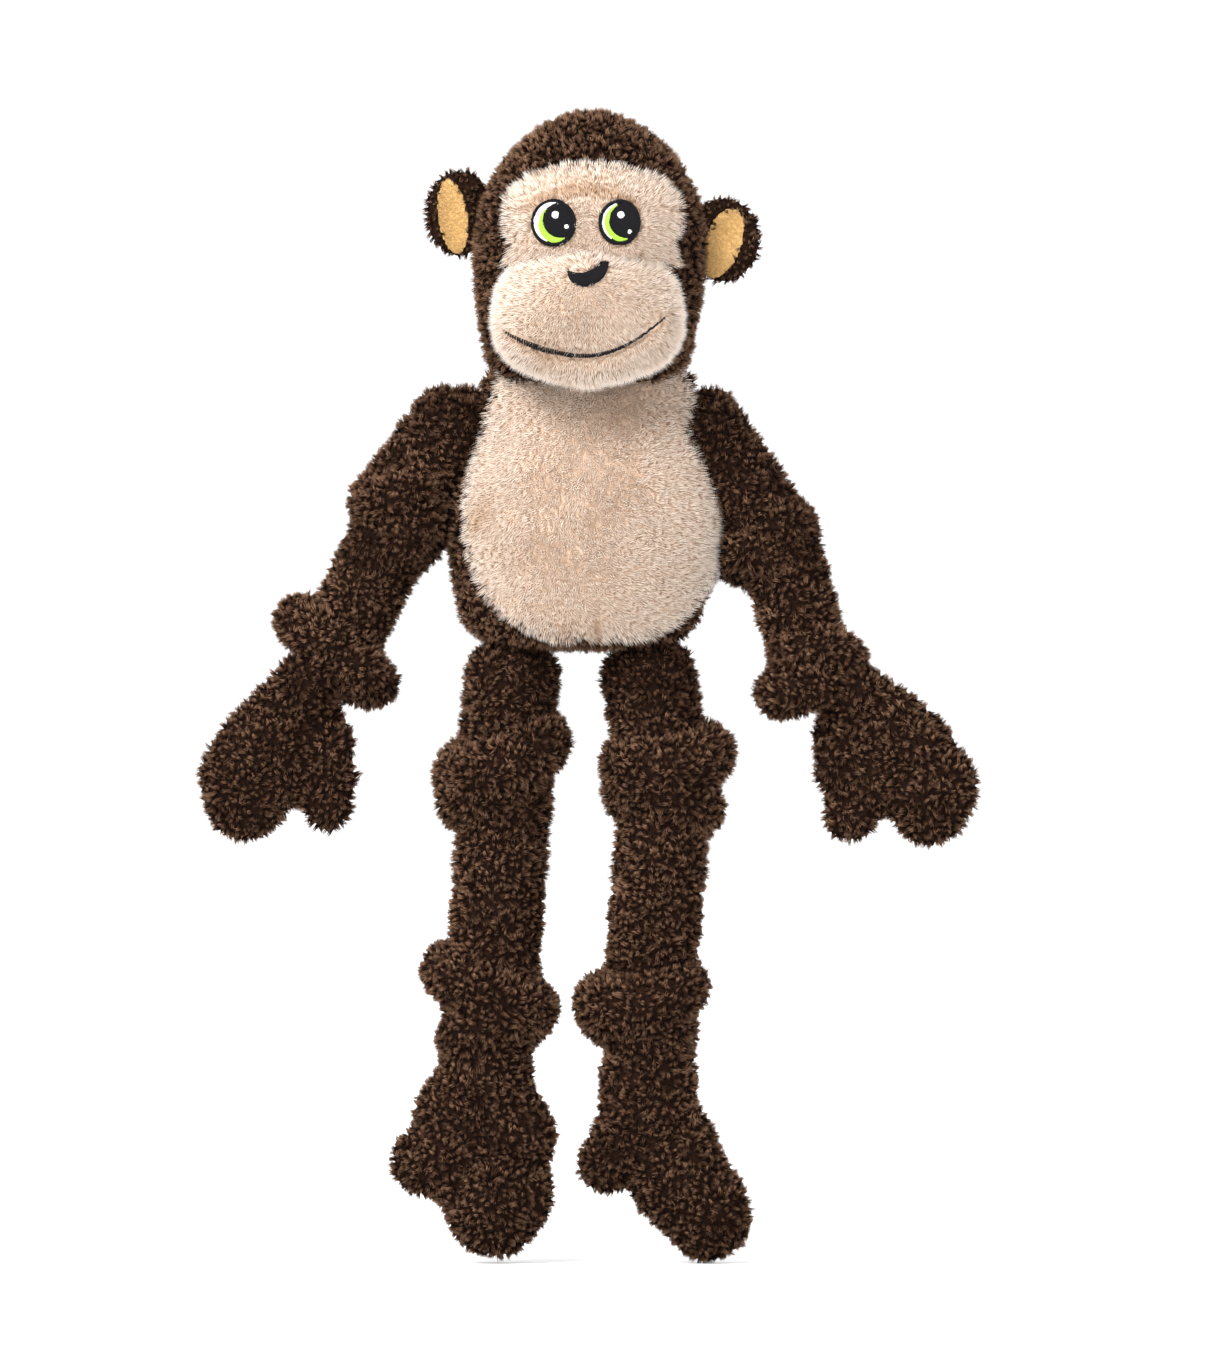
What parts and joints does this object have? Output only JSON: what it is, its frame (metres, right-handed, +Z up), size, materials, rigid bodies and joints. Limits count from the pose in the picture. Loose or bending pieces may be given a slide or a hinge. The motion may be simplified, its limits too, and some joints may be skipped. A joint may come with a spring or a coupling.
{
  "type": "stuffed monkey",
  "caption": "Long-limbed plush monkey with knotted arms and legs, mitten hands and feet, a soft face panel and a pale tummy.",
  "frame": {"origin": "middle of the neck seam, where the head is sewn to the body", "axes": "+Z up through the crown of the head, +Y out of the back, face towards -Y, +X to the toy's left"},
  "size_m": [0.3369, 0.117, 0.5],
  "materials": {
    "brown_pile": "dark brown curly teddy pile",
    "beige_plush": "soft short rabbit plush",
    "ear_velour": "brushed tan velour",
    "black_thread": "satin stitch thread",
    "white_thread": "satin stitch thread",
    "lime_thread": "satin stitch thread",
    "fibre_fill": "white polyester fibre"
  },
  "bodies": {
    "torso": {"back_cover": "brown_pile", "tummy_panel": "beige_plush", "body_stuffing": "fibre_fill"},
    "neck": {"neck": "brown_pile"},
    "head": {"head_cover": "brown_pile", "brow_panel": "beige_plush", "muzzle_panel": "beige_plush", "nose_embroidery": "black_thread", "mouth_embroidery": "black_thread", "head_stuffing": "fibre_fill", "left_eye_outline": "black_thread", "left_eye_white": "white_thread", "left_eye_iris": "lime_thread", "left_eye_pupil": "black_thread", "left_eye_glints": "white_thread", "right_eye_outline": "black_thread", "right_eye_white": "white_thread", "right_eye_iris": "lime_thread", "right_eye_pupil": "black_thread", "right_eye_glints": "white_thread"},
    "left_ear": {"left_ear_back": "brown_pile", "left_ear_lining": "ear_velour"},
    "right_ear": {"right_ear_back": "brown_pile", "right_ear_lining": "ear_velour"},
    "left_shoulder": {"left_arm_gather": "brown_pile"},
    "left_upper_arm": {"left_upper_sleeve": "brown_pile", "left_upper_sleeve_stuffing": "fibre_fill", "left_elbow_knot": "brown_pile"},
    "left_lower_arm": {"left_lower_sleeve": "brown_pile", "left_lower_sleeve_stuffing": "fibre_fill", "left_wrist_knot": "brown_pile"},
    "left_hand": {"left_hand_cover": "brown_pile", "left_hand_stuffing": "fibre_fill"},
    "right_shoulder": {"right_arm_gather": "brown_pile"},
    "right_upper_arm": {"right_upper_sleeve": "brown_pile", "right_upper_sleeve_stuffing": "fibre_fill", "right_elbow_knot": "brown_pile"},
    "right_lower_arm": {"right_lower_sleeve": "brown_pile", "right_lower_sleeve_stuffing": "fibre_fill", "right_wrist_knot": "brown_pile"},
    "right_hand": {"right_hand_cover": "brown_pile", "right_hand_stuffing": "fibre_fill"},
    "left_hip": {"left_leg_gather": "brown_pile"},
    "left_upper_leg": {"left_thigh_sleeve": "brown_pile", "left_thigh_stuffing": "fibre_fill", "left_knee_knot": "brown_pile"},
    "left_lower_leg": {"left_shin_sleeve": "brown_pile", "left_shin_stuffing": "fibre_fill", "left_ankle_knot": "brown_pile"},
    "left_foot": {"left_foot_cover": "brown_pile", "left_foot_stuffing": "fibre_fill"},
    "right_hip": {"right_leg_gather": "brown_pile"},
    "right_upper_leg": {"right_thigh_sleeve": "brown_pile", "right_thigh_stuffing": "fibre_fill", "right_knee_knot": "brown_pile"},
    "right_lower_leg": {"right_shin_sleeve": "brown_pile", "right_shin_stuffing": "fibre_fill", "right_ankle_knot": "brown_pile"},
    "right_foot": {"right_foot_cover": "brown_pile", "right_foot_stuffing": "fibre_fill"}
  },
  "joints": [
    {"name": "neck_turn", "type": "hinge", "parent": "torso", "child": "neck", "pos_m": [0, 0, 0], "axis": [0, 0, 1], "range_deg": [-35, 35], "stiffness_Nm_per_rad": 0.8},
    {"name": "head_nod", "type": "hinge", "parent": "neck", "child": "head", "pos_m": [0, 0, 0], "axis": [1, 0, 0], "range_deg": [-20, 10], "stiffness_Nm_per_rad": 0.8},
    {"name": "left_ear_fold", "type": "hinge", "parent": "head", "child": "left_ear", "pos_m": [0.054, 0.004, 0.058], "axis": [0, 0, -1], "range_deg": [-30, 30], "stiffness_Nm_per_rad": 0.01},
    {"name": "right_ear_fold", "type": "hinge", "parent": "head", "child": "right_ear", "pos_m": [-0.054, 0.004, 0.069], "axis": [0, 0, 1], "range_deg": [-30, 30], "stiffness_Nm_per_rad": 0.01},
    {"name": "left_shoulder_swing", "type": "hinge", "parent": "torso", "child": "left_shoulder", "pos_m": [0.053, 0, -0.016], "axis": [-1, 0, 0], "range_deg": [-45, 120], "stiffness_Nm_per_rad": 0.3},
    {"name": "left_shoulder_raise", "type": "hinge", "parent": "left_shoulder", "child": "left_upper_arm", "pos_m": [0.053, 0, -0.016], "axis": [0, -1, 0], "range_deg": [0, 100], "stiffness_Nm_per_rad": 0.3},
    {"name": "left_elbow_bend", "type": "hinge", "parent": "left_upper_arm", "child": "left_lower_arm", "pos_m": [0.08791, 0, -0.06232], "axis": [-0.9816, 0, -0.1908], "range_deg": [-20, 75], "stiffness_Nm_per_rad": 0.15},
    {"name": "left_wrist_bend", "type": "hinge", "parent": "left_lower_arm", "child": "left_hand", "pos_m": [0.09993, 0, -0.12416], "axis": [0, -1, 0], "range_deg": [-20, 45], "stiffness_Nm_per_rad": 0.08},
    {"name": "right_shoulder_swing", "type": "hinge", "parent": "torso", "child": "right_shoulder", "pos_m": [-0.053, 0, -0.016], "axis": [-1, 0, 0], "range_deg": [-45, 120], "stiffness_Nm_per_rad": 0.3},
    {"name": "right_shoulder_raise", "type": "hinge", "parent": "right_shoulder", "child": "right_upper_arm", "pos_m": [-0.053, 0, -0.016], "axis": [0, 1, 0], "range_deg": [0, 100], "stiffness_Nm_per_rad": 0.3},
    {"name": "right_elbow_bend", "type": "hinge", "parent": "right_upper_arm", "child": "right_lower_arm", "pos_m": [-0.08871, 0, -0.0617], "axis": [-0.9272, 0, 0.3746], "range_deg": [-20, 75], "stiffness_Nm_per_rad": 0.15},
    {"name": "right_wrist_bend", "type": "hinge", "parent": "right_lower_arm", "child": "right_hand", "pos_m": [-0.11231, 0, -0.12012], "axis": [0, 1, 0], "range_deg": [-20, 45], "stiffness_Nm_per_rad": 0.08},
    {"name": "left_hip_swing", "type": "hinge", "parent": "torso", "child": "left_hip", "pos_m": [0.03, 0, -0.123], "axis": [-1, 0, 0], "range_deg": [-35, 75], "stiffness_Nm_per_rad": 0.5},
    {"name": "left_hip_spread", "type": "hinge", "parent": "left_hip", "child": "left_upper_leg", "pos_m": [0.03, 0, -0.123], "axis": [0, -1, 0], "range_deg": [0, 25], "stiffness_Nm_per_rad": 0.5},
    {"name": "left_knee_bend", "type": "hinge", "parent": "left_upper_leg", "child": "left_lower_leg", "pos_m": [0.03512, 0, -0.17173], "axis": [0.9925, 0, -0.1219], "range_deg": [-10, 75], "stiffness_Nm_per_rad": 0.25},
    {"name": "left_ankle_flex", "type": "hinge", "parent": "left_lower_leg", "child": "left_foot", "pos_m": [0.02306, 0, -0.26999], "axis": [-1, 0, 0], "range_deg": [-30, 40], "stiffness_Nm_per_rad": 0.15},
    {"name": "right_hip_swing", "type": "hinge", "parent": "torso", "child": "right_hip", "pos_m": [-0.03, 0, -0.123], "axis": [-1, 0, 0], "range_deg": [-35, 75], "stiffness_Nm_per_rad": 0.5},
    {"name": "right_hip_spread", "type": "hinge", "parent": "right_hip", "child": "right_upper_leg", "pos_m": [-0.03, 0, -0.123], "axis": [0, 1, 0], "range_deg": [0, 25], "stiffness_Nm_per_rad": 0.5},
    {"name": "right_knee_bend", "type": "hinge", "parent": "right_upper_leg", "child": "right_lower_leg", "pos_m": [-0.03767, 0, -0.1714], "axis": [0.9976, 0, -0.0698], "range_deg": [-10, 75], "stiffness_Nm_per_rad": 0.25},
    {"name": "right_ankle_flex", "type": "hinge", "parent": "right_lower_leg", "child": "right_foot", "pos_m": [-0.04457, 0, -0.27016], "axis": [-1, 0, 0], "range_deg": [-30, 40], "stiffness_Nm_per_rad": 0.15}
  ]
}
